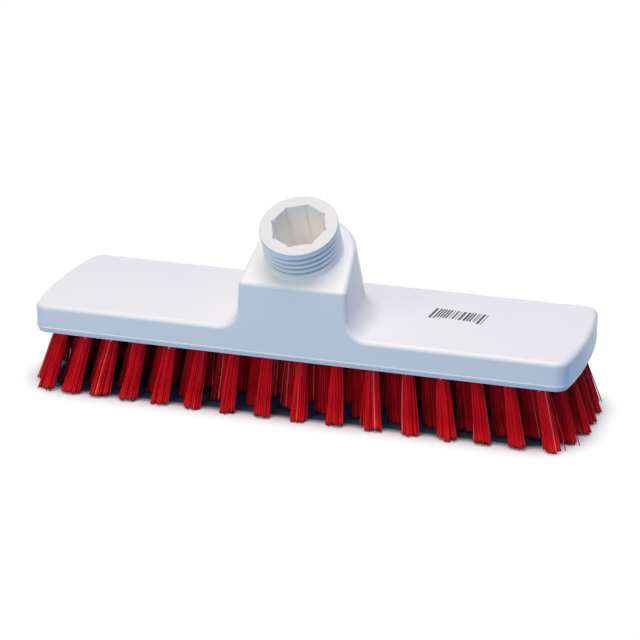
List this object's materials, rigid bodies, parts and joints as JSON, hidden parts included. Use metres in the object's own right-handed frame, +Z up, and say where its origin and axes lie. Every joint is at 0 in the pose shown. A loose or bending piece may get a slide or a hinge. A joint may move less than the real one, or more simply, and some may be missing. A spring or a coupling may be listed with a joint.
{
  "type": "scrub brush",
  "caption": "Rectangular scrub brush head with a leaning threaded collar and eight-sided handle socket on a moulded block, set with splayed bristle tufts.",
  "frame": {"origin": "on the floor plane of the trimmed bristle tips, below the middle of the block", "axes": "+Z up, X along the block, the collar leans towards -Y, the front"},
  "size_m": [0.3146, 0.1006, 0.1156],
  "materials": {
    "block_plastic": "white moulded plastic, satin gloss",
    "bristle": "red extruded filament",
    "anchor_wire": "drawn flat wire"
  },
  "bodies": {
    "root": {"anchors_row_1": "anchor_wire", "anchors_row_2": "anchor_wire", "anchors_row_3": "anchor_wire", "anchors_row_4": "anchor_wire", "anchors_row_5": "anchor_wire", "anchors_row_6": "anchor_wire", "anchors_row_7": "anchor_wire", "brush_block": "block_plastic", "handle_neck": "block_plastic", "tufts_column_01": "bristle", "tufts_column_02": "bristle", "tufts_column_03": "bristle", "tufts_column_04": "bristle", "tufts_column_05": "bristle", "tufts_column_06": "bristle", "tufts_column_07": "bristle", "tufts_column_08": "bristle", "tufts_column_09": "bristle", "tufts_column_10": "bristle", "tufts_column_11": "bristle", "tufts_column_12": "bristle", "tufts_column_13": "bristle", "tufts_column_14": "bristle", "tufts_column_15": "bristle", "tufts_column_16": "bristle", "tufts_column_17": "bristle", "tufts_column_18": "bristle", "tufts_column_19": "bristle", "tufts_column_20": "bristle", "tufts_column_21": "bristle", "tufts_column_22": "bristle", "tufts_column_23": "bristle", "tufts_column_24": "bristle", "tufts_column_25": "bristle", "tufts_column_26": "bristle", "tufts_column_27": "bristle", "tufts_column_28": "bristle", "tufts_column_29": "bristle", "tufts_column_30": "bristle", "tufts_column_31": "bristle", "tufts_column_32": "bristle", "tufts_column_33": "bristle"}
  },
  "joints": []
}
